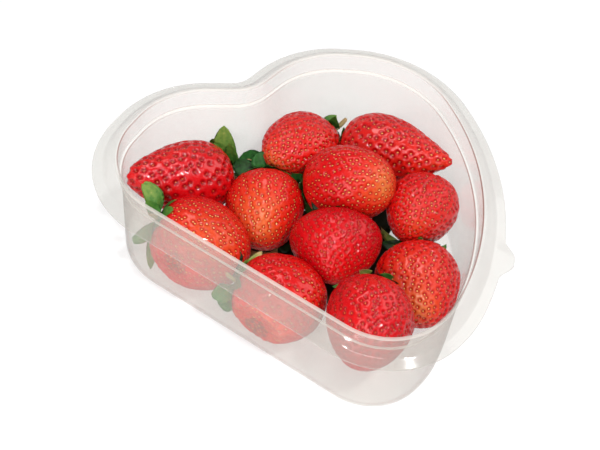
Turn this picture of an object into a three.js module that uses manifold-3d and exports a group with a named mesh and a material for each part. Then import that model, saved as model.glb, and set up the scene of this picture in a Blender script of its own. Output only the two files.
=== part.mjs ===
// A heart-shaped punnet of strawberries: an open tray thermoformed from clear film, with a
// raised rim, a sealing flange and a pull tab, and the layer of berries lying in it.
// Millimetres, +Z up. The origin is the middle of the base, on the surface it stands on.
import * as THREE from "three";
import { mergeVertices } from "three/addons/utils/BufferGeometryUtils.js";
import Module from "manifold-3d";

const wasm = await Module();
wasm.setup();

// ---- Tray: driving dimensions --------------------------------------------------------

const FILM = 0.8; // thickness of the formed film
const RIM_HEIGHT = 58; // top of the raised rim
const STEP_HEIGHT = 48.3; // small step round the inside, below the rim
const STEP_RISE = 0.5;
const FOOT_HEIGHT = 53.2; // where the rim's outer slope runs into the flange
const FLANGE_HEIGHT = 51.6; // outer edge of the flange, which droops a little

// Distances out from the rim line, the heart that the inner top edge of the rim follows.
const BASE_OUT = -2;
const STEP_OUT = -1.5;
const BAND_OUT = -0.4;
const CREST_OUT = 1.3;
const FOOT_OUT = 6.6;
const FLANGE_OUT = 11;
const BASE_FILLET = 2.5;
const FILLET_STEPS = 3;

// The rim line is a polygon with rounded corners, anticlockwise from the notch. It isn't quite
// symmetric: the left side is straight, and the right side swells.
const RIM_CORNERS = [
  { x: -3, y: 67, radius: 22 }, // notch, the one corner that turns inwards
  { x: -40, y: 82, radius: 37 }, // left lobe, top
  { x: -88, y: 50, radius: 34.5 }, // left lobe, side
  { x: -10.5, y: -83.5, radius: 29 }, // tip, left
  { x: 21, y: -72.5, radius: 51.5 }, // tip, right
  { x: 74, y: -31.5, radius: 123 }, // right side
  { x: 78, y: 57, radius: 45 }, // right lobe, side
  { x: 30, y: 81.5, radius: 40 }, // right lobe, top
];
const LONGEST_SPAN = 5; // longest stretch between two points of the rim line

const TAB = { x: 48, y: -49, halfWidth: 9.5, reach: 4.8 }; // pull tab, from its middle on the rim line

// ---- Strawberries: driving dimensions ------------------------------------------------

const FLOOR_GAP = 0.4;
const WALL_GAP = 0.5;
const HEAP_FLOOR = FILM + FLOOR_GAP;
const CORE_TOP = 16;
const CORE_OUT = -16;
const BERRY_RINGS = 10;
const BERRY_SIDES = 16;

// A berry lies with its middle over (x, y). Its axis runs from the leafy crown to the tip, at
// `yaw` degrees from +X, rising `pitch` degrees. `taper` is how much blunter the crown is than
// the tip, `flat` its thickness over its width, and `lift` how far off the floor it is held.
const BERRIES = [
  { x: -44, y: 58, yaw: 180, pitch: 25, length: 54, width: 35, taper: 0.45, flat: 1.05, lift: 1 },
  { x: -47, y: 23, yaw: -45, pitch: -20, length: 46, width: 42, taper: 0.05, flat: 0.85, lift: 0 },
  { x: -11.5, y: 31, yaw: -120, pitch: -15, length: 39, width: 36, taper: 0.15, flat: 0.9, lift: 1 },
  { x: 17, y: 55, yaw: -160, pitch: 20, length: 44, width: 34, taper: 0.2, flat: 0.85, lift: 7 },
  { x: 57, y: 31, yaw: -55, pitch: 20, length: 57, width: 36, taper: 0.6, flat: 0.95, lift: 6 },
  { x: 25, y: 20, yaw: -45, pitch: 25, length: 44, width: 35, taper: 0.05, flat: 1.05, lift: 11 },
  { x: 50, y: -3, yaw: -145, pitch: 20, length: 36, width: 33, taper: 0.25, flat: 1.05, lift: 7 },
  { x: 6, y: -6, yaw: -115, pitch: 0, length: 34, width: 41, taper: 0.35, flat: 0.9, lift: 4 },
  { x: 33, y: -35, yaw: -115, pitch: 5, length: 43, width: 38, taper: 0.2, flat: 0.85, lift: 2 },
  { x: -26.5, y: -16, yaw: -45, pitch: -5, length: 42, width: 42, taper: 0, flat: 0.75, lift: 0 },
  { x: -2, y: -50, yaw: -125, pitch: 5, length: 43, width: 38, taper: 0.2, flat: 0.95, lift: 9 },
];

// ---- Helpers -------------------------------------------------------------------------

// Cuts the rounded polygon into points, each with its outward direction, so that rings at
// different distances out have matching points.
function roundedOutline(corners) {
  const arcs = corners.map((corner, i) => {
    const at = new THREE.Vector2(corner.x, corner.y);
    const before = corners.at(i - 1);
    const after = corners[(i + 1) % corners.length];
    const arriving = at.clone().sub(before).normalize();
    const leaving = new THREE.Vector2(after.x, after.y).sub(at).normalize();
    const turn = Math.atan2(arriving.cross(leaving), arriving.dot(leaving));
    const side = Math.sign(turn);
    const start = at.clone().addScaledVector(arriving, -corner.radius * Math.tan(Math.abs(turn) / 2));
    const left = new THREE.Vector2(-arriving.y, arriving.x);
    const centre = start.clone().addScaledVector(left, side * corner.radius);
    return { start, centre, turn, side, radius: corner.radius };
  });
  const points = [];
  arcs.forEach((arc, i) => {
    const from = arc.start.clone().sub(arc.centre).angle();
    const spans = Math.ceil((Math.abs(arc.turn) * arc.radius) / LONGEST_SPAN);
    for (let k = 0; k <= spans; k++) {
      const angle = from + (arc.turn * k) / spans;
      const radial = new THREE.Vector2(Math.cos(angle), Math.sin(angle));
      points.push({
        at: arc.centre.clone().addScaledVector(radial, arc.radius),
        outward: radial.multiplyScalar(arc.side),
      });
    }
    const arcEnd = points.at(-1);
    const straight = arcs[(i + 1) % arcs.length].start.clone().sub(arcEnd.at);
    const pieces = Math.ceil(straight.length() / LONGEST_SPAN);
    for (let k = 1; k < pieces; k++)
      points.push({
        at: arcEnd.at.clone().addScaledVector(straight, k / pieces),
        outward: arcEnd.outward,
      });
  });
  return points;
}

const rimLine = roundedOutline(RIM_CORNERS);

// How far the pull tab pushes the flange's edge out at a point of the rim line.
function tabReach(at) {
  const along = Math.hypot(at.x - TAB.x, at.y - TAB.y) / TAB.halfWidth;
  return TAB.reach * (1 - THREE.MathUtils.smoothstep(along, 0.2, 1));
}

// One ring of the tray's film: the rim line moved out by `out`, at height z.
function ringAt(out, z, tab = 0) {
  return rimLine.map(({ at, outward }) => {
    const moved = at.clone().addScaledVector(outward, out + tab * tabReach(at));
    return new THREE.Vector3(moved.x, moved.y, z);
  });
}

// Joins rings of matching points, from first to last, into a closed surface, with a flat cap on
// the first ring and on the last.
function loft(rings) {
  const count = rings[0].length;
  const indices = [];
  for (let r = 1; r < rings.length; r++) {
    const low = (r - 1) * count;
    const high = r * count;
    for (let i = 0; i < count; i++) {
      const j = (i + 1) % count;
      indices.push(low + i, low + j, high + j, low + i, high + j, high + i);
    }
  }
  const cap = (ring) => THREE.ShapeUtils.triangulateShape(ring.map((p) => new THREE.Vector2(p.x, p.y)), []);
  const last = (rings.length - 1) * count;
  for (const [a, b, c] of cap(rings[0])) indices.push(c, b, a);
  for (const [a, b, c] of cap(rings.at(-1))) indices.push(last + a, last + b, last + c);
  const geometry = new THREE.BufferGeometry();
  const positions = rings.flat().flatMap((p) => [p.x, p.y, p.z]);
  geometry.setAttribute("position", new THREE.Float32BufferAttribute(positions, 3));
  geometry.setIndex(indices);
  return geometry;
}

function toSolid(geometry) {
  const bare = geometry.clone();
  bare.deleteAttribute("normal");
  bare.deleteAttribute("uv");
  const merged = mergeVertices(bare, 1e-4);
  const vertProperties = merged.attributes.position.array;
  const triVerts = new Uint32Array(merged.index.array);
  return new wasm.Manifold(new wasm.Mesh({ numProp: 3, vertProperties, triVerts }));
}

function toGeometry(solid) {
  const mesh = solid.getMesh();
  const geometry = new THREE.BufferGeometry();
  geometry.setAttribute("position", new THREE.BufferAttribute(mesh.vertProperties, 3));
  geometry.setIndex(new THREE.BufferAttribute(mesh.triVerts, 1));
  geometry.computeVertexNormals();
  return geometry;
}

// ---- Tray ----------------------------------------------------------------------------

// Middle line of the film's cross-section, from the base out to the flange's edge.
function filmSection() {
  const half = FILM / 2;
  const wallSlope = Math.atan2(STEP_HEIGHT - half, STEP_OUT - BASE_OUT);
  const setback = BASE_FILLET * Math.tan(wallSlope / 2);
  const centre = { out: BASE_OUT - setback, z: half + BASE_FILLET };
  const section = [];
  for (let k = 0; k <= FILLET_STEPS; k++) {
    const angle = (wallSlope * k) / FILLET_STEPS;
    section.push({
      out: centre.out + BASE_FILLET * Math.sin(angle),
      z: centre.z - BASE_FILLET * Math.cos(angle),
    });
  }
  section.push(
    { out: STEP_OUT, z: STEP_HEIGHT },
    { out: BAND_OUT, z: STEP_HEIGHT + STEP_RISE },
    { out: 0, z: RIM_HEIGHT - half },
    { out: CREST_OUT, z: RIM_HEIGHT - half },
    { out: FOOT_OUT, z: FOOT_HEIGHT - half },
    { out: FLANGE_OUT, z: FLANGE_HEIGHT - half, tab: 1 },
  );
  return section;
}

// The same line moved sideways by `distance`: inwards and up where that is positive.
function offsetSection(section, distance) {
  return section.map((point, i) => {
    const before = section[Math.max(i - 1, 0)];
    const after = section[Math.min(i + 1, section.length - 1)];
    const a = new THREE.Vector2(point.out - before.out, point.z - before.z).normalize();
    const b = new THREE.Vector2(after.out - point.out, after.z - point.z).normalize();
    if (i === 0) a.set(1, 0);
    if (i === section.length - 1) b.copy(a);
    const along = a.clone().add(b).normalize();
    const mitre = distance / Math.max(along.dot(a), 0.5);
    return { ...point, out: point.out - along.y * mitre, z: point.z + along.x * mitre };
  });
}

function makeTray() {
  const section = filmSection();
  const toRings = (line) => line.map(({ out, z, tab }) => ringAt(out, z, tab));
  const below = toRings(offsetSection(section, -FILM / 2));
  const above = toRings(offsetSection(section, FILM / 2));
  return loft([...below, ...above.reverse()]);
}

// ---- Strawberries --------------------------------------------------------------------

// One berry about its own axis, crown towards -X and tip towards +X, with a low three-sided
// unevenness that differs from berry to berry.
function makeBerry(berry, number) {
  const radiusAt = (angle) => Math.sin(angle) ** 0.9 * (1 + berry.taper * Math.cos(angle));
  const angles = Array.from({ length: BERRY_RINGS + 1 }, (_, k) => (Math.PI * k) / BERRY_RINGS);
  const widest = Math.max(...angles.map(radiusAt));
  const rings = angles.slice(1, -1).map((angle) =>
    Array.from({ length: BERRY_SIDES }, (_, k) => {
      const round = (2 * Math.PI * k) / BERRY_SIDES;
      const uneven = 1 + 0.02 * Math.sin(3 * round + 2 * number) + 0.015 * Math.sin(2 * round + number);
      const radius = (berry.width / 2) * (radiusAt(angle) / widest) * uneven;
      return new THREE.Vector3(
        (-berry.length / 2) * Math.cos(angle),
        radius * Math.cos(round),
        radius * berry.flat * Math.sin(round),
      );
    }),
  );
  const pole = (x) => rings[0].map(() => new THREE.Vector3(x, 0, 0));
  const surface = loft([pole(-berry.length / 2), ...rings, pole(berry.length / 2)]);
  surface.rotateY(-THREE.MathUtils.degToRad(berry.pitch));
  surface.rotateZ(THREE.MathUtils.degToRad(berry.yaw));
  surface.computeBoundingBox();
  return surface.translate(berry.x, berry.y, HEAP_FLOOR + berry.lift - surface.boundingBox.min.z);
}

function makeHeap() {
  const core = loft([ringAt(CORE_OUT, HEAP_FLOOR), ringAt(CORE_OUT, CORE_TOP)]);
  const inner = offsetSection(filmSection(), FILM / 2).slice(0, -3);
  const room = loft(
    inner.map(({ out, z }, i) => ringAt(out - WALL_GAP, i === 0 ? HEAP_FLOOR : z + FLOOR_GAP)),
  );
  const heap = BERRIES.reduce(
    (whole, berry, number) => whole.add(toSolid(makeBerry(berry, number))),
    toSolid(core),
  );
  return toGeometry(heap.intersect(toSolid(room)));
}

// ---- The whole -----------------------------------------------------------------------

function addMesh(group, name, geometry, material) {
  const mesh = new THREE.Mesh(geometry, material);
  mesh.name = name;
  group.add(mesh);
}

const clearFilm = new THREE.MeshStandardMaterial({
  color: 0xf0eeea,
  roughness: 0.12,
  metalness: 0,
  transparent: true,
  opacity: 0.35,
});
const berryFlesh = new THREE.MeshStandardMaterial({ color: 0xc51d22, roughness: 0.35, metalness: 0 });

const punnet = new THREE.Group();
addMesh(punnet, "tray", makeTray(), clearFilm);
addMesh(punnet, "strawberries", makeHeap(), berryFlesh);

export default punnet;
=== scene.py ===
"""A heart-shaped punnet of strawberries: a clear thermoformed tray and eleven ripe berries."""

import math

import bpy
import numpy as np
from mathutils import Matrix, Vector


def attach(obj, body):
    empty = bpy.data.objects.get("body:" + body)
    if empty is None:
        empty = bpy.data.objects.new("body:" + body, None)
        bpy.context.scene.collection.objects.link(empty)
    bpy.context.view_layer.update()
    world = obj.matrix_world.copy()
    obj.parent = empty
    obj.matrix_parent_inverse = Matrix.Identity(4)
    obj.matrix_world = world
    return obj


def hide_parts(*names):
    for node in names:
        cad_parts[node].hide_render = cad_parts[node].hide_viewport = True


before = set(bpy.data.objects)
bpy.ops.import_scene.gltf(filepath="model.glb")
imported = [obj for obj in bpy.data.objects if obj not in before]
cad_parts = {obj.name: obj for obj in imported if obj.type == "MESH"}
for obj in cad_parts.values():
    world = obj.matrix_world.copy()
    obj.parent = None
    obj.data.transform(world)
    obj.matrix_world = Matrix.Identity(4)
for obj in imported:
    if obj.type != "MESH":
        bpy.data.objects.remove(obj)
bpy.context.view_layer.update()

# ---- The tray --------------------------------------------------------------------------
# Clear film, half a millimetre thick, drawn hot into a heart-shaped mould. The wall ends in a
# small step, a raised rim, and a sloping flange for the lidding film, with a tab to peel it by.

FILM = 0.5
RIM_CORNERS = (  # x, y and radius of each corner of the rim line, anticlockwise from the notch
    (-3, 67, 22),
    (-40, 82, 37),
    (-88, 50, 34.5),
    (-10.5, -83.5, 29),
    (21, -72.5, 51.5),
    (74, -31.5, 123),
    (78, 57, 45),
    (30, 81.5, 40),
)
HEART_MIDDLE = np.array([-2.0, 8.0])
TAB_MIDDLE = np.array([48.0, -49.0])
TAB_HALF_WIDTH = 9.5
TAB_FLAT_SHARE = 0.2  # the share of the half width over which the tab reaches out in full
TAB_REACH = 4.8
FLANGE_FOOT, FLANGE_EDGE = 6.6, 11.0
# Each bend across the film: distance out from the rim line, height, bend radius, how dark it is
# drawn, a painted shade and reflection, and how milky the bend is, real haze with a painted
# highlight line, and how milky the film is on the way to it, in places also a painted highlight.
FILM_BENDS = (
    (-12.0, FILM / 2, 0, 0, 0, 0),
    (-2.0, FILM / 2, 2.5, 0, 0, 0),
    (-1.5, 48.3, 0.5, 1.0, 0.5, 0.10),
    (-0.4, 48.8, 0.4, 0, 1.0, 0.5),
    (0.0, 58 - FILM / 2, 0.5, 1.0, 0.6, 0.03),
    (1.3, 58 - FILM / 2, 0.6, 0, 0.5, 0.4),
    (4.15, 55.8 - FILM / 2, 18.0, 0, 0.03, 0.03),
    (FLANGE_FOOT, 53.2 - FILM / 2, 2.0, 0, 0.03, 0.03),
    (FLANGE_EDGE, 51.6 - FILM / 2, 0, 0, 0.25, 0.03),
)
MARK_FADE = 0.2  # how far from a bend its marks have faded out
# The folds carry their painted shade where the rim faces this direction and away from it, the
# sides seen edge on, at the right and, a little weaker, at the left; elsewhere they carry their
# milky painted highlight.
FOLD_SHADE_SIDES = np.array([0.85, -0.527])
LEFT_FOLD_SHADE = 0.8
# About how far apart points of the film lie: round the rim, up the wall and over a bend.
RIM_SPAN, WALL_SPAN, BEND_SPAN = 1.3, 6, 0.35
BASE_SHARES = (0.9, 0.75, 0.6, 0.45, 0.3, 0.15, 0.05)  # how large each ring on the base is
MILLIMETRE = 0.001  # in metres


def turn_of(before, corner, after):
    """Unit directions in and out of a corner, and the angle turned there, in radians."""
    arriving = (corner - before) / np.linalg.norm(corner - before)
    leaving = (after - corner) / np.linalg.norm(after - corner)
    cross = arriving[0] * leaving[1] - arriving[1] * leaving[0]
    return arriving, leaving, math.atan2(cross, float(arriving @ leaving))


def heart_line(span):
    """Points round the rim line, about span apart, and the outward direction at each."""
    corners = np.array([c[:2] for c in RIM_CORNERS], float)
    arcs = []
    for i, (x, y, radius) in enumerate(RIM_CORNERS):
        before, after = corners[i - 1], corners[(i + 1) % len(corners)]
        arriving, _, turn = turn_of(before, corners[i], after)
        start = corners[i] - arriving * radius * math.tan(abs(turn) / 2)
        side = math.copysign(1, turn)
        centre = start + side * radius * np.array([-arriving[1], arriving[0]])
        arcs.append((start, centre, turn, side, radius))
    points, outwards = [], []
    for i, (start, centre, turn, side, radius) in enumerate(arcs):
        first = math.atan2(*(start - centre)[::-1])
        pieces = math.ceil(abs(turn) * radius / span)
        for k in range(pieces + 1):
            angle = first + turn * k / pieces
            radial = np.array([math.cos(angle), math.sin(angle)])
            points.append(centre + radial * radius)
            outwards.append(radial * side)
        straight = arcs[(i + 1) % len(arcs)][0] - points[-1]
        pieces = math.ceil(np.linalg.norm(straight) / span)
        end, outward = points[-1], outwards[-1]
        for k in range(1, pieces):
            points.append(end + straight * k / pieces)
            outwards.append(outward)
    return np.array(points), np.array(outwards)


def film_line():
    """The film's middle line across the wall, its bends rounded, with normals and marks."""
    corners = [np.array(b[:2], float) for b in FILM_BENDS]
    line, marks = [corners[0]], [(0, 0)]
    for i in range(1, len(corners) - 1):
        radius, fold_shade, haze_and_glint, way_haze_and_glint = FILM_BENDS[i][2:]
        arriving, leaving, turn = turn_of(corners[i - 1], corners[i], corners[i + 1])
        setback = radius * math.tan(abs(turn) / 2)
        start, end = corners[i] - arriving * setback, corners[i] + leaving * setback
        stretch = start - arriving * MARK_FADE - line[-1]
        pieces = math.ceil(np.linalg.norm(stretch) / WALL_SPAN)
        for k in range(pieces):
            line.append(line[-1] + stretch / pieces)
            marks.append((0, way_haze_and_glint))
        side = math.copysign(1, turn)
        centre = start + side * radius * np.array([-arriving[1], arriving[0]])
        first = math.atan2(*(start - centre)[::-1])
        steps = max(3, math.ceil(abs(turn) * radius / BEND_SPAN))
        for k in range(steps + 1):
            angle = first + turn * k / steps
            line.append(centre + radius * np.array([math.cos(angle), math.sin(angle)]))
            marks.append((fold_shade if 0 < k < steps else 0, haze_and_glint))
        line.append(end + leaving * MARK_FADE)
        marks.append((0, FILM_BENDS[i + 1][5]))
    line += [corners[-1] - leaving * MARK_FADE * 2, corners[-1]]
    marks += [(0, FILM_BENDS[-1][5]), (0, FILM_BENDS[-1][4])]
    line, marks = np.array(line), np.array(marks, float)
    along = np.gradient(line, axis=0)
    along /= np.linalg.norm(along, axis=1, keepdims=True)
    return line, np.stack([-along[:, 1], along[:, 0]], axis=1), marks


def ease(share):
    """A smooth step from 0 to 1."""
    return share**2 * (3 - 2 * share)


rim_points, rim_outwards = heart_line(RIM_SPAN)
tab_distance = np.linalg.norm(rim_points - TAB_MIDDLE, axis=1) / TAB_HALF_WIDTH
tab_blend = np.clip((tab_distance - TAB_FLAT_SHARE) / (1 - TAB_FLAT_SHARE), 0, 1)
tab_reach = TAB_REACH * (1 - ease(tab_blend))


def film_ring(out, z):
    """The rim line moved out, at height z; the outer half of the flange takes in the tab."""
    share = np.clip((out - FLANGE_FOOT) / (FLANGE_EDGE - FLANGE_FOOT), 0, 1)
    flat = rim_points + rim_outwards * (out + share * tab_reach)[:, None]
    return np.column_stack([flat, np.full(len(flat), z)])


def base_rings(ring):
    """Ever smaller copies of a ring, down to the middle of the base."""
    middle = np.append(HEART_MIDDLE, ring[0, 2])
    return [middle + (ring - middle) * share for share in BASE_SHARES]


def skin(rings, first_pole, last_pole):
    """Vertices and faces of a closed surface through rings of matching points."""
    count = len(rings[0])
    vertices = np.vstack([*rings, first_pole, last_pole])
    i = np.arange(count)
    j = (i + 1) % count
    faces = []
    for r in range(1, len(rings)):
        low, high = (r - 1) * count, r * count
        faces += np.column_stack([low + i, low + j, high + j, high + i]).tolist()
    start, end = len(rings) * count, len(rings) * count + 1
    faces += np.column_stack([np.full(count, start), j, i]).tolist()
    last = (len(rings) - 1) * count
    faces += np.column_stack([np.full(count, end), last + i, last + j]).tolist()
    return vertices, faces


def add_piece(name, vertices, faces, material, masks):
    """A smooth mesh object from points in millimetres, with a value a point for each mask."""
    mesh = bpy.data.meshes.new(name)
    mesh.from_pydata((np.asarray(vertices) * MILLIMETRE).tolist(), [], faces)
    mesh.shade_smooth()
    for mask, values in masks.items():
        mesh.attributes.new(mask, "FLOAT", "POINT").data.foreach_set("value", values)
    mesh.materials.append(material)
    piece = bpy.data.objects.new(name, mesh)
    bpy.context.scene.collection.objects.link(piece)
    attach(piece, "root")
    return piece


def tray_surface():
    """The closed film, with its painted fold shade and how milky it is, with painted highlight
    lines, at each point, and whether it still has the sheet's full thickness there, as it does on
    the flange."""
    line, normals, marks = film_line()
    under = [film_ring(*point) for point in line - normals * FILM / 2]
    over = [film_ring(*point) for point in line + normals * FILM / 2]
    edge = film_ring(FLANGE_EDGE + FILM / 3, line[-1, 1])
    inner_under, inner_over = base_rings(under[0]), base_rings(over[0])
    rings = inner_under[::-1] + under + [edge] + over[::-1] + inner_over
    poles = [np.append(HEART_MIDDLE, ring[0, 2]) for ring in (under[0], over[0])]
    side = rim_outwards @ FOLD_SHADE_SIDES
    fold_shade_share = side**4 * np.where(side > 0, 1, LEFT_FOLD_SHADE)
    flat = np.zeros(len(inner_under))
    masks = []
    marks = np.column_stack([marks, np.clip(line[:, 0], 0, 1)])
    for bend_marks, share in zip(marks.T, (fold_shade_share, 1 - fold_shade_share, np.ones(len(side)))):
        across = np.concatenate([flat, bend_marks, bend_marks[-1:], bend_marks[::-1], flat])
        masks.append(np.append(np.outer(across, share), [0, 0]))
    return *skin(rings, *poles), *masks


def new_material(name):
    """A material with its nodes, links and Principled BSDF."""
    material = bpy.data.materials.new(name)
    material.use_nodes = True
    nodes = material.node_tree.nodes
    return material, nodes, material.node_tree.links, nodes["Principled BSDF"]


def unevenness_group():
    """Noise over the surface, of a size in millimetres, as a mask from 0 to 1."""
    group = bpy.data.node_groups.new("unevenness", "ShaderNodeTree")
    for name, value in (("Size mm", 5.0), ("Contrast", 1.0)):
        socket = group.interface.new_socket(name, in_out="INPUT", socket_type="NodeSocketFloat")
        socket.default_value = value
    group.interface.new_socket("Mask", in_out="OUTPUT", socket_type="NodeSocketFloat")
    entry = group.nodes.new("NodeGroupInput")
    leave = group.nodes.new("NodeGroupOutput")
    place = group.nodes.new("ShaderNodeTexCoord")
    per_metre = group.nodes.new("ShaderNodeMath")
    per_metre.operation = "DIVIDE"
    per_metre.inputs[0].default_value = 1000
    noise = group.nodes.new("ShaderNodeTexNoise")
    noise.inputs["Detail"].default_value = 4
    spread = group.nodes.new("ShaderNodeMath")
    spread.operation = "MULTIPLY_ADD"
    spread.use_clamp = True
    middle = group.nodes.new("ShaderNodeMath")
    middle.operation = "SUBTRACT"
    middle.inputs[1].default_value = 0.5
    link = group.links.new
    link(entry.outputs["Size mm"], per_metre.inputs[1])
    link(place.outputs["Object"], noise.inputs["Vector"])
    link(per_metre.outputs[0], noise.inputs["Scale"])
    link(noise.outputs["Fac"], middle.inputs[0])
    link(middle.outputs[0], spread.inputs[0])
    link(entry.outputs["Contrast"], spread.inputs[1])
    spread.inputs[2].default_value = 0.5
    link(spread.outputs[0], leave.inputs["Mask"])
    return group


unevenness = unevenness_group()


def add_unevenness(nodes, size, contrast):
    """A mask of noise, of a size in millimetres."""
    node = nodes.new("ShaderNodeGroup")
    node.node_tree = unevenness
    node.inputs["Size mm"].default_value = size
    node.inputs["Contrast"].default_value = contrast
    return node.outputs["Mask"]


def map_range(nodes, links, source, low, high, from_low=0.0, from_high=1.0):
    """A mask stretched from one range to another, and kept inside it."""
    node = nodes.new("ShaderNodeMapRange")
    node.inputs["From Min"].default_value = from_low
    node.inputs["From Max"].default_value = from_high
    node.inputs["To Min"].default_value = low
    node.inputs["To Max"].default_value = high
    links.new(source, node.inputs["Value"])
    return node.outputs["Result"]


def mask_of(nodes, name):
    """The mask that a piece's points carry under that name."""
    node = nodes.new("ShaderNodeAttribute")
    node.attribute_name = name
    return node.outputs["Fac"]


def multiply(nodes, links, first, second):
    node = nodes.new("ShaderNodeMath")
    node.operation = "MULTIPLY"
    links.new(first, node.inputs[0])
    links.new(second, node.inputs[1])
    return node.outputs[0]


def multiply_add(nodes, links, source, factor, addend, clamp=False):
    node = nodes.new("ShaderNodeMath")
    node.operation = "MULTIPLY_ADD"
    node.use_clamp = clamp
    node.inputs[1].default_value = factor
    links.new(source, node.inputs[0])
    links.new(addend, node.inputs[2])
    return node.outputs[0]


def mix_colours(nodes, links, share, first, second, blend="MIX"):
    """One colour laid over another by a share; the first may be a colour or come from a node."""
    node = nodes.new("ShaderNodeMix")
    node.data_type = "RGBA"
    node.blend_type = blend
    links.new(share, node.inputs["Factor"])
    if isinstance(first, tuple):
        node.inputs["A"].default_value = first
    else:
        links.new(first, node.inputs["A"])
    node.inputs["B"].default_value = second
    return node.outputs["Result"]


def mix_shaders(nodes, links, first, second):
    """Two shaders mixed, with the socket that sets the second one's share."""
    node = nodes.new("ShaderNodeMixShader")
    links.new(first, node.inputs[1])
    links.new(second, node.inputs[2])
    return node.outputs[0], node.inputs["Fac"]


def film_material():
    """Milky film that lets most light through, veils more at a slant, and shines like glass."""
    material, nodes, links, haze_and_glint = new_material("clear film")
    haze_and_glint.inputs["Base Color"].default_value = (0.985, 0.95, 0.895, 1)
    haze_and_glint.inputs["Roughness"].default_value = 0.5
    haze_and_glint.inputs["Specular IOR Level"].default_value = 0.2
    fold_shade = mask_of(nodes, "fold_shade")
    milk_and_glint = mask_of(nodes, "milk_and_glint")
    slant = nodes.new("ShaderNodeLayerWeight")
    slant.inputs["Blend"].default_value = 0.5

    veil = map_range(nodes, links, slant.outputs["Facing"], 0.065, 0.265)
    cloud = map_range(nodes, links, add_unevenness(nodes, 9.0, 1.6), 0.92, 1.08)
    speckle = map_range(nodes, links, add_unevenness(nodes, 0.9, 3.0), 0.92, 1.08)
    veil = multiply(nodes, links, veil, multiply(nodes, links, cloud, speckle))
    # Milky bends add haze: real milkiness and a painted highlight line.
    veil = multiply_add(nodes, links, milk_and_glint, 0.5, veil)
    # Less haze along the folds that carry painted shade.
    veil = multiply(nodes, links, veil, map_range(nodes, links, fold_shade, 1, 0.2))

    full_sheet = mask_of(nodes, "full_sheet")
    drawn_tint, sheet_tint = (0.984, 0.984, 0.978, 1), (0.922, 0.924, 0.912, 1)
    tint = mix_colours(nodes, links, full_sheet, drawn_tint, sheet_tint)
    # Painted shade and reflection: the folds seen edge on are tinted dark red-brown.
    tint = mix_colours(nodes, links, fold_shade, tint, (0.50, 0.30, 0.27, 1))
    clear = nodes.new("ShaderNodeBsdfTransparent")
    links.new(tint, clear.inputs["Color"])
    through = nodes.new("ShaderNodeBsdfTranslucent")
    through.inputs["Color"].default_value = (0.985, 0.955, 0.905, 1)
    haze, through_share = mix_shaders(nodes, links, haze_and_glint.outputs[0], through.outputs[0])
    through_share.default_value = 0.4
    body, haze_share = mix_shaders(nodes, links, clear.outputs[0], haze)
    links.new(veil, haze_share)

    gloss = nodes.new("ShaderNodeBsdfGlossy")
    gloss.inputs["Roughness"].default_value = 0.09
    steep = nodes.new("ShaderNodeMath")
    steep.operation = "POWER"
    steep.inputs[1].default_value = 5.0
    links.new(slant.outputs["Facing"], steep.inputs[0])
    shine = map_range(nodes, links, steep.outputs[0], 0.028, 0.5)
    shine = multiply(nodes, links, shine, map_range(nodes, links, milk_and_glint, 1, 0, 0.25, 0.5))
    shine = multiply(nodes, links, shine, map_range(nodes, links, fold_shade, 1, 0, 0, 0.4))
    surface, gloss_share = mix_shaders(nodes, links, body, gloss.outputs[0])
    links.new(shine, gloss_share)

    ray = nodes.new("ShaderNodeLightPath")
    unshaded = nodes.new("ShaderNodeBsdfTransparent")
    unshaded.inputs["Color"].default_value = (0.97, 0.975, 0.965, 1)
    lit, unshaded_share = mix_shaders(nodes, links, surface, unshaded.outputs[0])
    links.new(ray.outputs["Is Shadow Ray"], unshaded_share)
    links.new(lit, nodes["Material Output"].inputs["Surface"])
    return material


tray_points, tray_faces, fold_shades, milk_and_glints, full_sheet = tray_surface()
tray = add_piece(
    "tray_film", tray_points, tray_faces, film_material(),
    {"fold_shade": fold_shades, "milk_and_glint": milk_and_glints, "full_sheet": full_sheet},
)
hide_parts("tray")

# ---- The berries' flesh ----------------------------------------------------------------
# Ripe fruit, laid in by hand in one layer. Each grew its own shape, from blunt to long, and its
# skin is drawn in to a small hollow round every seed.

SKIN_CUTS = 64  # quads along each edge of the six-sided ball that a berry is formed from
SKIN_GRAIN = 0.09
CROWN_DIP, CROWN_DIP_ANGLE = 2.5, 0.32
BERRY_REST = 0.7  # height of the lowest point of a berry that lies on the base
WALL_GAP = 0.3
# The middle of the wall's film, in straight lines: at each height, how far out from the rim
# line it is.
WALL_HEIGHTS, WALL_REACHES = (0, 2.5, 48, 58), (-4.5, -2.0, -1.5, 0)
SEED_CELL = 0.87  # skin for each seed, over the square of the distance between seeds
SEED_STRAY, SEED_TURN_STRAY = 0.4, 0.09
BARE_CROWN = 0.38  # radians from the crown within which no seed grows
HOLLOW_SHARE = 0.47  # a hollow's radius over the distance between seeds
RIDGE_SHARE = 0.32  # the share of a hollow's depth at which the skin has its own colour: shallower is painted sheen, deeper painted shade
BRUISE_RADIUS = 7.0
POINTS_AT_ONCE = 4000  # keeps the tables of distances small
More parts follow.
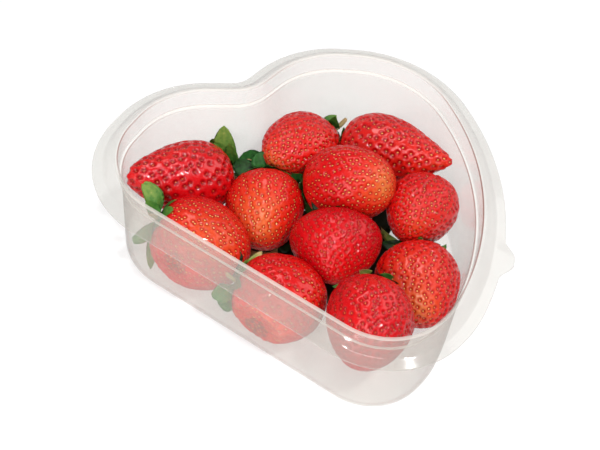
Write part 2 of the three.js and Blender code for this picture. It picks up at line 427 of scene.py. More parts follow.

# The axis of a berry runs from the leafy crown to the tip, at yaw degrees from +X, rising by
# pitch degrees, with its middle over x, y. taper is how much blunter the crown is than the tip,
# flat is thickness over width, and lift is how far off the base it is set, among the others.
# seeds is the distance between seeds, hollow the depth of a hollow, gold how yellow the seeds
# are, and gloss how wet the skin looks. deep is how dark the red is, and pale_and_lit how orange
# the berry is painted on the side that faces the front lamps, lit_side: painted light. bruise is
# the middle of a soft brown patch.
BERRIES = (
    dict(x=-44, y=58, yaw=180, pitch=25, length=54, width=35, taper=0.45, flat=1.05, lift=1,
         seeds=4.5, hollow=1.04, gold=0.35, gloss=0.85,
         deep=0.75, pale_and_lit=0.2, lit_side=(-1.0, 0.0, -0.2)),
    dict(x=-47, y=23, yaw=-45, pitch=-20, length=46, width=42, taper=0.05, flat=0.85, lift=0,
         seeds=3.1, hollow=0.65, gold=0.6, gloss=0.5,
         deep=0.3, pale_and_lit=0.5, lit_side=(0.04, -0.44, 0.9),
         bruise=(-63.8, 12.8, 24.3)),
    dict(x=-11.5, y=31, yaw=-120, pitch=-15, length=39, width=36, taper=0.15, flat=0.9, lift=1,
         seeds=2.9, hollow=0.65, gold=0.5, gloss=0.5,
         deep=0.3, pale_and_lit=0.72, lit_side=(-0.47, -0.62, 0.62)),
    dict(x=17, y=55, yaw=-160, pitch=20, length=44, width=34, taper=0.2, flat=0.85, lift=7,
         seeds=3.0, hollow=1.0, gold=0.8, gloss=0.8,
         deep=0.3, pale_and_lit=0.7, lit_side=(-0.82, -0.48, 0.31)),
    dict(x=57, y=31, yaw=-55, pitch=20, length=57, width=36, taper=0.6, flat=0.95, lift=6,
         seeds=4.1, hollow=1.05, gold=0.7, gloss=0.95,
         deep=0.3, pale_and_lit=0.25, lit_side=(-0.12, -0.83, 0.54)),
    dict(x=25, y=20, yaw=-45, pitch=25, length=44, width=35, taper=0.05, flat=1.05, lift=11,
         seeds=3.1, hollow=0.62, gold=0.55, gloss=0.5,
         deep=0.2, pale_and_lit=0.62, lit_side=(0.25, -0.76, 0.6)),
    dict(x=50, y=-3, yaw=-145, pitch=20, length=36, width=33, taper=0.25, flat=1.05, lift=7,
         seeds=2.8, hollow=1.0, gold=0.75, gloss=0.8,
         deep=0.5, pale_and_lit=0.4, lit_side=(-0.44, -0.84, 0.31)),
    dict(x=6, y=-6, yaw=-115, pitch=0, length=34, width=41, taper=0.35, flat=0.9, lift=4,
         seeds=2.8, hollow=0.45, gold=0.1, gloss=0.35,
         deep=0.9, pale_and_lit=0.2, lit_side=(-0.3, -0.88, 0.36)),
    dict(x=33, y=-35, yaw=-115, pitch=5, length=43, width=38, taper=0.2, flat=0.85, lift=2,
         seeds=3.2, hollow=1.0, gold=0.65, gloss=0.8,
         deep=0.25, pale_and_lit=0.65, lit_side=(-0.45, -0.56, 0.7)),
    dict(x=-26.5, y=-16, yaw=-45, pitch=-5, length=42, width=42, taper=0, flat=0.75, lift=0,
         seeds=3.2, hollow=0.72, gold=0.5, gloss=0.6,
         deep=0.5, pale_and_lit=0.7, lit_side=(-0.67, -0.62, 0.4),
         bruise=(-41.5, -25.3, 15.3)),
    dict(x=-2, y=-50, yaw=-125, pitch=5, length=43, width=38, taper=0.2, flat=0.95, lift=9,
         seeds=3.1, hollow=0.72, gold=0.3, gloss=0.65,
         deep=0.9, pale_and_lit=0.25, lit_side=(0.17, 0.3, 0.94)),
)


def even_ball(cuts):
    """Directions spread evenly over a ball, as the corners of quads."""
    steps = np.tan(np.linspace(-math.pi / 4, math.pi / 4, cuts + 1))
    u, v = np.meshgrid(steps, steps, indexing="ij")
    one = np.ones_like(u)
    sides = [(one, u, v), (-one, v, u), (v, one, u), (u, -one, v), (u, v, one), (v, u, -one)]
    points = np.vstack([np.stack(side, axis=-1).reshape(-1, 3) for side in sides])
    points /= np.linalg.norm(points, axis=1, keepdims=True)
    _, first, index = np.unique(
        np.round(points, 7), axis=0, return_index=True, return_inverse=True
    )
    index = index.reshape(6, cuts + 1, cuts + 1)
    corners = [index[:, :-1, :-1], index[:, 1:, :-1], index[:, 1:, 1:], index[:, :-1, 1:]]
    quads = np.stack(corners, -1)
    return points[first], quads.reshape(-1, 4)


def lumps(directions, seed, waves=9, pace=2.2):
    """Waves over a ball, about -1 to 1, the same for the same seed; pace is how close they are."""
    draw = np.random.default_rng(seed)
    total = np.zeros(len(directions))
    for _ in range(waves):
        wave = draw.normal(0, pace, 3)
        total += np.sin(directions @ wave + draw.uniform(0, 2 * math.pi))
    return total / math.sqrt(waves)


def profile(angle, taper):
    """How wide a berry is at an angle from its crown, in radians, before it is scaled."""
    return np.sin(angle) ** 0.9 * (1 + taper * np.cos(angle))


def half_width(berry, angle):
    """Half the berry's width at an angle from its crown, in radians."""
    widest = profile(np.linspace(0.01, math.pi - 0.01, 200), berry["taper"]).max()
    return berry["width"] / 2 * profile(angle, berry["taper"]) / widest


def berry_form(berry, number, directions):
    """Points of the smooth berry about its own axis, crown towards -X, for those directions."""
    angle = np.arccos(np.clip(-directions[:, 0], -1, 1))
    round_axis = np.arctan2(directions[:, 2], directions[:, 1])
    uneven = 1 + 0.02 * np.sin(3 * round_axis + 2 * number)
    uneven += 0.015 * np.sin(2 * round_axis + number) + 0.018 * lumps(directions, 40 + number)
    radius = half_width(berry, angle) * uneven
    crown_dip = CROWN_DIP * np.exp(-((angle / CROWN_DIP_ANGLE) ** 2))
    return np.column_stack([
        -berry["length"] / 2 * np.cos(angle) + crown_dip,
        radius * np.cos(round_axis),
        radius * berry["flat"] * np.sin(round_axis),
    ])


def lay(berry, points):
    """Turns points from the berry's own axis to where it lies, before it is set down."""
    pitch, yaw = math.radians(berry["pitch"]), math.radians(berry["yaw"])
    x = points[:, 0] * math.cos(pitch) - points[:, 2] * math.sin(pitch)
    z = points[:, 0] * math.sin(pitch) + points[:, 2] * math.cos(pitch)
    turned_x = x * math.cos(yaw) - points[:, 1] * math.sin(yaw)
    turned_y = x * math.sin(yaw) + points[:, 1] * math.cos(yaw)
    return np.column_stack([turned_x, turned_y, z])


def point_normals(points, quads):
    """Outward normals at the points of a closed quad mesh."""
    a, b, c, d = (points[quads[:, corner]] for corner in range(4))
    faces = np.cross(c - a, d - b)
    normals = np.zeros_like(points)
    for corner in range(4):
        np.add.at(normals, quads[:, corner], faces)
    normals /= np.linalg.norm(normals, axis=1, keepdims=True)
    return normals


def press_to_wall(points):
    """Flattens what would reach through the tray's wall against it."""
    wall_out = np.interp(points[:, 2], WALL_HEIGHTS, WALL_REACHES) - FILM / 2 - WALL_GAP
    for start in range(0, len(points), POINTS_AT_ONCE):
        part = points[start:start + POINTS_AT_ONCE]
        offsets = part[:, None, :2] - rim_points[None]
        nearest = np.argmin((offsets**2).sum(axis=2), axis=1)
        outward = rim_outwards[nearest]
        reach = (offsets[np.arange(len(part)), nearest] * outward).sum(axis=1)
        excess = np.maximum(reach - wall_out[start:start + POINTS_AT_ONCE], 0)
        part[:, :2] -= outward * excess[:, None]


def seed_directions(berry, number):
    """Spiral of directions on the ball, evenly spaced over the berry's own surface."""
    angles = np.linspace(0.02, math.pi - 0.005, 400)
    ring = np.column_stack([-np.cos(angles), np.sin(angles), np.zeros_like(angles)])
    line = berry_form(berry, number, ring)
    steps = np.linalg.norm(np.diff(line, axis=0), axis=1)
    radii = np.linalg.norm(line[:, 1:], axis=1) * (1 + berry["flat"]) / 2
    area = np.concatenate([[0], np.cumsum(steps * math.pi * (radii[1:] + radii[:-1]))])
    count = int(area[-1] / (SEED_CELL * berry["seeds"] ** 2))
    draw = np.random.default_rng(500 + number)
    share = (np.arange(count) + 0.5 + draw.uniform(-SEED_STRAY, SEED_STRAY, count)) / count
    angle = np.interp(share * area[-1], area, angles)
    golden = math.pi * (3 - math.sqrt(5))
    around = np.arange(count) * golden + draw.uniform(-SEED_TURN_STRAY, SEED_TURN_STRAY, count)
    directions = np.column_stack([
        -np.cos(angle), np.sin(angle) * np.cos(around), np.sin(angle) * np.sin(around)
    ])
    return directions[angle > BARE_CROWN]


def colour_ramp(nodes, links, source, stops):
    """Colours from a mask: each stop is a place from 0 to 1 and the colour there."""
    ramp = nodes.new("ShaderNodeValToRGB")
    elements = ramp.color_ramp.elements
    elements[0].color = (*stops[0][1], 1)
    elements[1].color = (*stops[-1][1], 1)
    for place, colour in stops[1:-1]:
        elements.new(place).color = (*colour, 1)
    links.new(source, ramp.inputs["Fac"])
    return ramp.outputs["Color"]


def add_bump(nodes, links, heights, strength, distance):
    bump = nodes.new("ShaderNodeBump")
    bump.inputs["Strength"].default_value = strength
    bump.inputs["Distance"].default_value = distance
    links.new(heights, bump.inputs["Height"])
    return bump.outputs["Normal"]


def flesh_material():
    """Red skin with a soft gloss, deep where ripe and orange round the crown, with painted light:
    orange on its lit side and paler ridges, and painted shade darkening the hollows.
    """
    material, nodes, links, skin_shader = new_material("strawberry flesh")
    pale_and_lit = mask_of(nodes, "pale_and_lit")
    speckled = multiply_add(nodes, links, add_unevenness(nodes, 1.3, 2.0), 0.12, pale_and_lit)
    cloudy = add_unevenness(nodes, 8.0, 2.2)
    ripe_and_lit_tone = multiply_add(nodes, links, cloudy, 0.14, speckled, clamp=True)
    colour = colour_ramp(nodes, links, ripe_and_lit_tone, (
        (0, (0.50, 0.001, 0.007)),
        (0.3, (0.70, 0.003, 0.006)),
        (0.55, (0.75, 0.022, 0.008)),
        (0.8, (0.78, 0.090, 0.020)),
        (1, (0.80, 0.25, 0.06)),
    ))
    hollow = mask_of(nodes, "hollow")
    # Painted shade: the colour is darkened in the hollows, where shade falls.
    colour = mix_colours(nodes, links, hollow, colour, (0.50, 0.10, 0.20, 1), "MULTIPLY")
    bruise = mask_of(nodes, "bruise")
    blotch = multiply(nodes, links, bruise, add_unevenness(nodes, 1.6, 5.0))
    blotch = map_range(nodes, links, blotch, 0.0, 1.0, 0.08, 0.28)
    colour = mix_colours(nodes, links, blotch, colour, (0.32, 0.035, 0.012, 1))
    links.new(colour, skin_shader.inputs["Base Color"])
    pores = add_unevenness(nodes, 0.8, 1.6)
    links.new(map_range(nodes, links, pores, 0.16, 0.34), skin_shader.inputs["Roughness"])
    links.new(add_bump(nodes, links, pores, 1.0, 0.00013), skin_shader.inputs["Normal"])
    skin_shader.inputs["IOR"].default_value = 1.40
    skin_shader.inputs["Specular IOR Level"].default_value = 0.2
    links.new(mask_of(nodes, "gloss"), skin_shader.inputs["Coat Weight"])
    skin_shader.inputs["Coat Roughness"].default_value = 0.06
    skin_shader.inputs["Subsurface Weight"].default_value = 0.1
    skin_shader.inputs["Subsurface Radius"].default_value = (1.0, 0.12, 0.08)
    skin_shader.inputs["Subsurface Scale"].default_value = 0.002
    return material


flesh = flesh_material()
ball, ball_quads = even_ball(SKIN_CUTS)
resting = []  # for each berry, how far its own points are moved once it is turned
seats = []  # for each seed: place, outward normal, way to the tip, how golden it is, with painted light

for number, berry in enumerate(BERRIES):
    smooth = lay(berry, berry_form(berry, number, ball))
    drop = np.array([berry["x"], berry["y"], BERRY_REST + berry["lift"] - smooth[:, 2].min()])
    resting.append(drop)
    smooth += drop
    press_to_wall(smooth)
    normals = point_normals(smooth, ball_quads)
    towards = seed_directions(berry, number)
    nearest = np.argmax(towards @ ball.T, axis=1)
    spots = smooth[nearest]
    distance = np.empty(len(smooth))
    for start in range(0, len(smooth), POINTS_AT_ONCE):
        end = start + POINTS_AT_ONCE
        gaps = smooth[start:end, None] - spots[None]
        distance[start:end] = np.sqrt((gaps**2).sum(axis=2).min(axis=1))
    bowl = 1 - ease(np.clip(distance / (HOLLOW_SHARE * berry["seeds"]), 0, 1))
    grain = lumps(ball, 90 + number, waves=40, pace=16)
    surface = smooth + normals * (SKIN_GRAIN * grain - berry["hollow"] * bowl)[:, None]
    # Paler round the crown. Painted light makes it paler on the lit side and on the ridges between
    # hollows, and painted shade makes it darker in the hollows.
    crown_share = np.clip((-ball[:, 0] - 0.8) / 0.2, 0, 1)
    lit_share = np.clip((normals @ np.array(berry["lit_side"]) - 0.35) / 0.65, 0, 1)
    pale_and_lit = 0.26 - 0.3 * berry["deep"] + 0.65 * berry["pale_and_lit"] * lit_share**2.2 + 0.45 * crown_share**2
    pale_and_lit += 0.05 * lumps(ball, 70 + number) + 0.34 * berry["hollow"] * (RIDGE_SHARE - bowl)
    gloss = np.clip(1.2 * berry["gloss"] * (1 - 0.4 * bowl), 0, 1)
    bruise = np.zeros(len(ball))
    if "bruise" in berry:
        reach = np.linalg.norm(smooth - np.array(berry["bruise"]), axis=1)
        bruise = np.clip(1.6 - 1.6 * reach / BRUISE_RADIUS, 0, 1)
    piece = add_piece(
        f"strawberry_{number + 1:02d}", surface, ball_quads.tolist(), flesh,
        {"hollow": bowl, "pale_and_lit": pale_and_lit, "gloss": gloss, "bruise": bruise},
    )
    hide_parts("strawberries")
    tip = lay(berry, np.array([[1.0, 0, 0]]))[0]
    for k in nearest:
        # A seed takes the skin's paleness and painted light at its spot, so lit seeds are painted
        # yellower.
        seats.append((surface[k], normals[k], tip, berry["gold"] + pale_and_lit[k]))

# ---- The seeds -------------------------------------------------------------------------
# Hard golden seeds, shaped like drops, one sunk in each hollow of the skin with its point
# towards the crown.

SEED_LENGTH, SEED_WIDTH, SEED_HEIGHT = 1.2, 0.8, 0.6
SEED_SIDES = 6
SEED_SECTIONS = ((0.72, 0.62), (0.1, 1.0), (-0.6, 0.68))  # place along it, and its width there
SEED_PROUD = 0.02  # how far a seed's middle is above the hollow's floor
SEED_SIZES, SEED_SHADES = (0.85, 1.15), (-0.4, 0.15)  # how much they vary


def seed_form():
    """One seed about its own middle, X towards the tip of the berry and Z out of the skin."""
    rings = []
    for along, wide in SEED_SECTIONS:
        around = np.linspace(0, 2 * math.pi, SEED_SIDES, endpoint=False)
        rings.append(np.column_stack([
            np.full(SEED_SIDES, along * SEED_LENGTH / 2),
            -np.cos(around) * wide * SEED_WIDTH / 2,
            np.sin(around) * wide * SEED_HEIGHT / 2,
        ]))
    return skin(rings, [SEED_LENGTH / 2, 0, 0], [-SEED_LENGTH / 2, 0, 0])


def seed_material():
    material, nodes, links, shell = new_material("seed shell")
    colour = colour_ramp(nodes, links, mask_of(nodes, "shade"), (
        (0, (0.58, 0.05, 0.015)),
        (0.3, (0.74, 0.14, 0.03)),
        (0.6, (0.88, 0.40, 0.09)),
        (1, (0.95, 0.58, 0.16)),
    ))
    links.new(colour, shell.inputs["Base Color"])
    mottle = add_unevenness(nodes, 0.5, 1.4)
    links.new(map_range(nodes, links, mottle, 0.14, 0.3), shell.inputs["Roughness"])
    return material


def join_parts(parts):
    """The points and faces of one mesh, from those of many."""
    points, faces, offset = [], [], 0
    for part_points, part_faces in parts:
        points.append(part_points)
        faces += [[i + offset for i in face] for face in part_faces]
        offset += len(part_points)
    return np.vstack(points), faces


seed_points, seed_faces = seed_form()
draw = np.random.default_rng(11)
seed_parts, shades = [], []
for spot, normal, tip, golden in seats:
    forward = tip - normal * (tip @ normal)
    forward /= max(np.linalg.norm(forward), 1e-6)
    sideways = np.cross(normal, forward)
    size = draw.uniform(*SEED_SIZES)
    placed = spot + normal * SEED_PROUD + size * (
        seed_points[:, :1] * forward + seed_points[:, 1:2] * sideways + seed_points[:, 2:] * normal
    )
    seed_parts.append((placed, seed_faces))
    shades.append(np.full(len(placed), golden + draw.uniform(*SEED_SHADES)))
seeds = add_piece(
    "seeds", *join_parts(seed_parts), seed_material(), {"shade": np.concatenate(shades)}
)
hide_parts("strawberries")

# ---- The leaves at each crown ----------------------------------------------------------
# The calyx: a ring of narrow, pointed green leaves at each crown, folded along the middle and
# bent back or standing as they wilted.

# Each calyx has a ring of small leaves, and the larger ones that stand clear of the fruit:
# degrees round the crown, the slant where a leaf starts and where it ends, from the crown's own
# plane and away from the berry, the leaf's length and width, and its shade, from dark to dry;
# those below zero are near black and fill gaps between berries, leaves and painted shade both.
# point is how finely the leaves of that berry taper.
CALYXES = (
    dict(point=0.75, long_leaves=[
        (118, -12, -12, 26, 12.5, 0.45), (104, 15, -45, 20, 8, 0.35),
        (141, -12, -18, 21, 9, 0.35)]),
    dict(point=0.6, long_leaves=[
        (28, 30, 90, 18, 9, 0.45), (100, 30, 60, 13, 6, 0.3), (232, 0, 45, 16, 6.5, 0.3),
        (232, -15, -30, 23, 5, 0.35)]),
    dict(point=0.5, long_leaves=[
        (208, 30, 60, 20, 14, 0.12), (130, 45, 60, 11, 12, 0.12), (175, -15, 60, 17, 10, 0.0),
        (168, 15, 45, 12, 4, 0.7)]),
    dict(point=1.0, long_leaves=[(104, 0, 75, 12, 9, 0.35), (80, 10, -40, 15, 8, 0.3)]),
    dict(point=1.0, long_leaves=[]),
    dict(point=0.8, long_leaves=[
        (258, 0, 60, 12, 8, 0.35), (245, -20, 60, 15, 8, 0.25), (110, 45, -20, 12, 7, 0.1),
        (275, 10, 70, 14, 8, -0.1)]),
    dict(point=1.0, long_leaves=[(250, 30, 50, 16, 9, -0.1), (215, 30, 60, 16, 9, -0.1)]),
    dict(point=1.0, long_leaves=[
        (60, 30, 60, 18, 9, -0.1), (150, 30, 60, 16, 9, -0.1), (20, 20, 40, 16, 9, -0.1)]),
    dict(point=1.0, long_leaves=[
        (172, 15, 75, 20, 4, 0.55), (184, 20, 75, 20, 4, 0.55), (125, 45, 75, 14, 8, -0.1),
        (178, 10, 30, 15, 8, -0.1), (0, -20, 70, 17, 6, 0.3)]),
    dict(point=0.6, long_leaves=[
        (190, 20, 40, 15, 9, 0.3), (200, 0, 15, 17, 8, 0.3), (8, -15, -15, 18, 5, 0.6),
        (20, 30, 50, 17, 9, -0.1), (350, 20, 60, 15, 8, -0.1)]),
    dict(point=1.0, long_leaves=[
        (120, 20, -45, 15, 7, 0.6), (50, 45, -45, 12, 6, 0.3), (190, 0, 0, 17, 7, 0.2)]),
)
# Leaves that came off and lie between the berries: where the leaf starts, its heading and how
# it slopes, in degrees, its length and width, and its shade. The near-black ones fill the gaps
# between berries, where shade falls: leaves and painted shade both.
LOOSE_LEAVES = (
    (-24, 20, 1.5, 0, 0, 23, 10, 1.0),
    (-25, 26, 6, -35, -5, 15, 8, -0.2),
    (-9, 13, 5, 65, 0, 14, 8, -0.2),
    (34, 8, 6, 20, 12, 18, 10, -0.2),
    (33, 7, 3, -65, 10, 15, 9, -0.2),
    (10, 31, 7, -80, -5, 18, 9, -0.1),
    (23, -12, 2, 45, 0, 19, 13, -0.2),
    (-4, -18, 2, 45, 0, 18, 11, -0.2),
    (-11, 12, 2.5, 30, 0, 15, 10, -0.2),
    (10, 33, 5, 50, 0, 12, 9, -0.2),
    (37, 5, 3, 50, 0, 13, 9, -0.2),
    (-14, 66, 3, -15, 0, 9, 7, 0.2),
)
SHOWN_SIDE = (-0.33, -0.54, 0.78)  # the larger leaves turn their broad side this way
RING_LEAVES = 8
RING_LEAF = dict(length=11, width=6, start=0, end=-35)
LOOSE_POINT, LOOSE_CURL, LOOSE_FOLD = 0.6, -10, 0.25
LEAF_THICKNESS = 0.3
LEAF_ROWS, LEAF_COLUMNS = 12, 6
LEAF_ROOT = 1.0  # from the crown's middle to where a leaf starts
CROWN_DEPTH = 1.2  # how deep in the crown its leaves start
FLESH_GAP = 0.3  # between a leaf and the skin under it


def leaf_form(length, width, point, start, end, fold, roll, twist, wave):
    """A leaf from the crown outwards along +Y, with +X away from the berry: closed and thin."""
    along = np.linspace(0, 1, LEAF_ROWS + 1)
    slant = np.radians(start + (end - start) * along)
    step = length / LEAF_ROWS
    out = np.concatenate([[0], np.cumsum(np.cos(slant[:-1]) * step)])
    away = np.concatenate([[0], np.cumsum(np.sin(slant[:-1]) * step)])
    half = np.sqrt(along) * (1 - along) ** point
    half *= width / 2 / half.max()
    half = np.maximum(half, width * 0.12 * (1 - along) + 0.02)
    across = np.linspace(-1, 1, LEAF_COLUMNS + 1)
    top, bottom, tones = [], [], []
    for i, share in enumerate(along):
        turned = math.radians(roll * min(1, 2 * share) + twist * share)
        for v in across:
            tones.append(0.4 * (share - 0.5) + 0.1 * v**2 + (0.1 if v == 0 else 0))
            side = v * half[i]
            rise = fold * abs(v) ** 1.3 * half[i] + wave * math.sin(7 * share + 2 * v) * abs(v)
            s = side * math.cos(turned) - rise * math.sin(turned)
            r = side * math.sin(turned) + rise * math.cos(turned)
            thin = LEAF_THICKNESS / 2 * (1 - v**4) * (1 - 0.7 * share)
            nx, ny = math.cos(slant[i]), -math.sin(slant[i])
            for store, sign in ((top, 1), (bottom, -1)):
                store.append((away[i] + (r + sign * thin) * nx, out[i] + (r + sign * thin) * ny, s))
    columns = LEAF_COLUMNS + 1
    count = len(top)
    edge = [i * columns + j for i in range(LEAF_ROWS + 1) for j in (0, columns - 1)]
    remap = {count + k: k for k in edge}
    faces = []
    for i in range(LEAF_ROWS):
        for j in range(LEAF_COLUMNS):
            a = i * columns + j
            quad = [a, a + 1, a + columns + 1, a + columns]
            faces.append(quad)
            faces.append([remap.get(count + k, count + k) for k in quad[::-1]])
    for row in (0, LEAF_ROWS * columns):
        for j in range(LEAF_COLUMNS):
            a, b = row + j, row + j + 1
            low_a, low_b = remap.get(count + a, count + a), remap.get(count + b, count + b)
            face = list(dict.fromkeys([b, a, low_a, low_b]))
            faces.append(face if row == 0 else face[::-1])
    points, tones = np.array(top + bottom), np.array(tones + tones)
    kept = sorted(set(k for f in faces for k in f))
    place = {k: i for i, k in enumerate(kept)}
    return points[kept], [[place[k] for k in f] for f in faces], tones[kept]


def leaf_material():
    material, nodes, links, blade = new_material("calyx leaf")
    mottle = add_unevenness(nodes, 1.8, 2.2)
    blend = multiply_add(nodes, links, mottle, 0.25, mask_of(nodes, "shade"), clamp=True)
    # The near-black end is painted shade for the leaves that fill the gaps.
    colour = colour_ramp(nodes, links, blend, (
        (0, (0.006, 0.020, 0.005)),
        (0.3, (0.022, 0.130, 0.020)),
        (0.55, (0.070, 0.205, 0.028)),
        (0.8, (0.210, 0.320, 0.055)),
        (1, (0.60, 0.40, 0.18)),
    ))
    links.new(colour, blade.inputs["Base Color"])
    blade.inputs["Roughness"].default_value = 0.5
    blade.inputs["Specular IOR Level"].default_value = 0.3
    veins = add_unevenness(nodes, 0.9, 1.5)
    links.new(add_bump(nodes, links, veins, 0.6, 0.0002), blade.inputs["Normal"])
    return material


def clear_of_flesh(berry, points, gap):
    """Moves points of a leaf out of the berry, square to its axis, until they lie on its skin."""
    angle = np.arccos(np.clip(-2 * points[:, 0] / berry["length"], -1, 1))
    radius = half_width(berry, angle) * 1.02
    across = np.hypot(points[:, 1], points[:, 2] / berry["flat"])
    least = np.where(points[:, 0] > -berry["length"] / 2 + 1.0, radius + gap, 0)
    share = np.maximum(least / np.maximum(across, 0.5), 1)
    moved = points.copy()
    moved[:, 1:] *= np.minimum(share, 1.6)[:, None]
    return moved


def roll_to_face(direction, berry, angle, slant):
    """Degrees to roll a leaf about its own length so that its broad side faces a direction."""
    basis = lay(berry, np.eye(3))
    x, y, z = basis @ np.array(direction)
    outward = y * math.cos(angle) + z * math.sin(angle)
    sideways = z * math.cos(angle) - y * math.sin(angle)
    broad = -x * math.cos(slant) - outward * math.sin(slant)
    return math.degrees(math.atan2(-sideways, broad))


leaf_parts, leaf_shades = [], []


def add_leaf(placed, faces, tones, shade):
    """Keeps a leaf off the base and inside the wall; dark leaves are more even in tone."""
    placed[:, 2] = np.maximum(placed[:, 2], BERRY_REST)
    press_to_wall(placed)
    leaf_parts.append((placed, faces))
    leaf_shades.append(shade + tones * np.clip(2 * shade, 0, 1))


draw = np.random.default_rng(23)
for number, (berry, calyx) in enumerate(zip(BERRIES, CALYXES)):
    sprigs = list(calyx["long_leaves"])
    for k in range(RING_LEAVES):
        sprigs.append((
            360 * (k + draw.uniform(-0.2, 0.2)) / RING_LEAVES,
            RING_LEAF["start"] + draw.uniform(-8, 12),
            RING_LEAF["end"] + draw.uniform(-18, 18),
            RING_LEAF["length"] * draw.uniform(0.8, 1.1),
            RING_LEAF["width"] * draw.uniform(0.75, 1.1),
            draw.uniform(0.05, 0.4),
        ))
    for k, (degrees, start, end, length, width, shade) in enumerate(sprigs):
        angle = math.radians(degrees)
        roll = 0
        if k < len(calyx["long_leaves"]):
            roll = roll_to_face(SHOWN_SIDE, berry, angle, math.radians((start + end) / 2))
        points, faces, tones = leaf_form(
            length, width, calyx["point"], start, end, draw.uniform(0.15, 0.45), roll,
            draw.uniform(-10, 10), draw.uniform(0.1, 0.35),
        )
        y = points[:, 1] + LEAF_ROOT
        placed = np.column_stack([
            -berry["length"] / 2 + CROWN_DEPTH - points[:, 0],
            y * math.cos(angle) - points[:, 2] * math.sin(angle),
            y * math.sin(angle) + points[:, 2] * math.cos(angle),
        ])
        placed = lay(berry, clear_of_flesh(berry, placed, FLESH_GAP)) + resting[number]
        add_leaf(placed, faces, tones, shade)
for x, y, z, heading, slope, length, width, shade in LOOSE_LEAVES:
    points, faces, tones = leaf_form(
        length, width, LOOSE_POINT, slope, slope + LOOSE_CURL, LOOSE_FOLD, 0,
        draw.uniform(-15, 15), draw.uniform(0.2, 0.5),
    )
    ahead = np.array([math.cos(math.radians(heading)), math.sin(math.radians(heading))])
    placed = np.column_stack([
        x + points[:, 1] * ahead[0] + points[:, 2] * ahead[1],
        y + points[:, 1] * ahead[1] - points[:, 2] * ahead[0],
        z + points[:, 0],
    ])
    add_leaf(placed, faces, tones, shade)
leaves = add_piece(
    "calyx_leaves", *join_parts(leaf_parts), leaf_material(),
    {"shade": np.concatenate(leaf_shades)},
)
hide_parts("strawberries")

# ---- The stalks ------------------------------------------------------------------------
# The short green stalk left at each crown where the berry was picked, a little bent and
# swollen, dry and brown at the cut.

STALK_RADIUS = 1.2
STALK_BENDS = ((0.3, 0.5), (0.5, -0.4), (-0.4, 0.6), (0.2, 1.4), (0.6, 1.3), (-0.5, 0.3),
               (0.3, -0.2), (0.2, 0.4), (-0.3, 0.5), (0.4, 0.2), (0.1, -0.5))
STALK_LENGTHS = (8, 7, 7, 12, 11, 7, 6, 7, 8, 8, 7)
STALK_SIDES, STALK_SECTIONS = 12, 11
STALK_ROOT = 3.0  # how deep in the crown a stalk starts


def stalk_form(length, bend):
    """Rings of a bent stalk out of the crown, and how far along each is."""
    rings, shares = [], []
    for share in np.linspace(0, 1, STALK_SECTIONS):
        sideways = length * 0.5 * share**2
        middle = np.array([-length * share, sideways * bend[0], sideways * bend[1]])
        radius = STALK_RADIUS * (1.15 - 0.35 * share + 0.18 * math.sin(9 * share))
        around = np.linspace(0, 2 * math.pi, STALK_SIDES, endpoint=False)
        ring = np.column_stack([np.zeros(STALK_SIDES), np.cos(around), np.sin(around)])
        rings.append(middle + ring * radius)
        shares.append(share)
    return rings, shares


def stalk_material():
    material, nodes, links, rind = new_material("stalk")
    colour = colour_ramp(nodes, links, mask_of(nodes, "along"), (
        (0, (0.16, 0.26, 0.06)),
        (1, (0.50, 0.32, 0.14)),
    ))
    links.new(colour, rind.inputs["Base Color"])
    fibre = add_unevenness(nodes, 0.8, 1.6)
    links.new(map_range(nodes, links, fibre, 0.4, 0.65), rind.inputs["Roughness"])
    return material


stalk_parts, stalk_along = [], []
for number, berry in enumerate(BERRIES):
    rings, shares = stalk_form(STALK_LENGTHS[number], STALK_BENDS[number])
    points, faces = skin(rings[::-1], rings[-1].mean(axis=0), rings[0].mean(axis=0))
    points[:, 0] += -berry["length"] / 2 + STALK_ROOT
    placed = lay(berry, points) + resting[number]
    placed[:, 2] = np.maximum(placed[:, 2], BERRY_REST)
    press_to_wall(placed)
    stalk_parts.append((placed, faces))
    stalk_along.append(np.concatenate([np.repeat(shares[::-1], STALK_SIDES), [1, 0]]))
stalks = add_piece(
    "stalks", *join_parts(stalk_parts), stalk_material(), {"along": np.concatenate(stalk_along)}
)
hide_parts("strawberries")

# ---- The room --------------------------------------------------------------------------
# A white studio table. Three soft lights, above, in front and at the right, and a low one at
# the left give the even light, and two small lamps the glints. The camera looks down into the
# tray from above its tip.

TABLE_HALF = 6.0
# Each light's name, place, the height it is aimed at, size and power in watts.
LIGHTS = (
    ("overhead_softbox", (0.07, 0.46, 1.05), 0.02, 0.45, 2.55),
    ("front_softbox", (-0.34, -0.43, 0.96), 0.03, 0.45, 2.45),
    ("side_softbox", (0.75, -0.05, 0.60), 0.03, 0.6, 1.8),
    ("top_lamp", (0.22, -0.38, 1.00), 0.03, 0.10, 4.1),
    ("key_lamp", (-0.78, -0.40, 0.70), 0.03, 0.09, 3.0),
    ("low_softbox", (-0.92, -0.56, 0.27), 0.03, 0.5, 3.0),
)
ROOM_LIGHT = 0.15


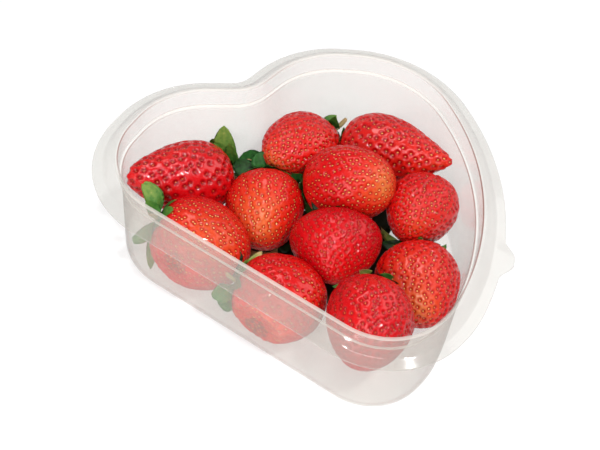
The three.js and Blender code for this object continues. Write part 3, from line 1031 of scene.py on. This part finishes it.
def plain_floor():
    """The table, which glows four times as bright to the camera as to the things on it."""
    material, nodes, links, paint = new_material("white table")
    paint.inputs["Roughness"].default_value = 0.9
    paint.inputs["Specular IOR Level"].default_value = 0.0
    paint.inputs["Emission Strength"].default_value = 1.0
    ray = nodes.new("ShaderNodeLightPath")
    glow = map_range(nodes, links, ray.outputs["Is Camera Ray"], 0.15, 0.60)
    links.new(glow, paint.inputs["Emission Color"])
    colour = colour_ramp(nodes, links, add_unevenness(nodes, 40.0, 0.5), (
        (0, (0.44, 0.44, 0.44)),
        (1, (0.46, 0.46, 0.46)),
    ))
    links.new(colour, paint.inputs["Base Color"])
    mesh = bpy.data.meshes.new("table_top")
    corners = [(x * TABLE_HALF, y * TABLE_HALF, 0) for x, y in ((-1, -1), (1, -1), (1, 1), (-1, 1))]
    mesh.from_pydata(corners, [], [(0, 1, 2, 3)])
    mesh.materials.append(material)
    table = bpy.data.objects.new("table_top", mesh)
    bpy.context.scene.collection.objects.link(table)


def add_light(name, place, aim_height, size, power):
    lamp = bpy.data.lights.new(name, "AREA")
    lamp.shape = "SQUARE"
    lamp.size = size
    lamp.energy = power
    light = bpy.data.objects.new(name, lamp)
    light.location = place
    towards = Vector((0, 0, aim_height)) - Vector(place)
    light.rotation_euler = towards.to_track_quat("-Z", "Y").to_euler()
    bpy.context.scene.collection.objects.link(light)


plain_floor()
for light in LIGHTS:
    add_light(*light)

world = bpy.data.worlds.new("white studio")
world.use_nodes = True
world.node_tree.nodes["Background"].inputs["Color"].default_value = (1, 1, 1, 1)
world.node_tree.nodes["Background"].inputs["Strength"].default_value = ROOM_LIGHT
bpy.context.scene.world = world
bpy.context.scene.view_settings.view_transform = "Standard"
bpy.context.scene.cycles.transparent_max_bounces = 32

AZIMUTH, ELEVATION, ROLL = math.radians(-31.79), math.radians(51), math.radians(7.52)
LOOK_AT = np.array([-0.00585, 0.00803, 0.030])
CAMERA_DISTANCE = 0.51996
FOCAL_SHARE = 1170 / 600  # focal length over the frame's width
SENSOR_WIDTH = 36
back = np.array([
    math.sin(AZIMUTH) * math.cos(ELEVATION),
    -math.cos(AZIMUTH) * math.cos(ELEVATION),
    math.sin(ELEVATION),
])
level_right = np.array([math.cos(AZIMUTH), math.sin(AZIMUTH), 0])
level_up = np.cross(back, level_right)
right = math.cos(ROLL) * level_right + math.sin(ROLL) * level_up
up = -math.sin(ROLL) * level_right + math.cos(ROLL) * level_up
lens = bpy.data.cameras.new("camera")
lens.sensor_width = SENSOR_WIDTH
lens.lens = SENSOR_WIDTH * FOCAL_SHARE
camera = bpy.data.objects.new("camera", lens)
place = LOOK_AT + back * CAMERA_DISTANCE
camera.matrix_world = Matrix((
    (right[0], up[0], back[0], place[0]),
    (right[1], up[1], back[1], place[1]),
    (right[2], up[2], back[2], place[2]),
    (0, 0, 0, 1),
))
bpy.context.scene.collection.objects.link(camera)
bpy.context.scene.camera = camera
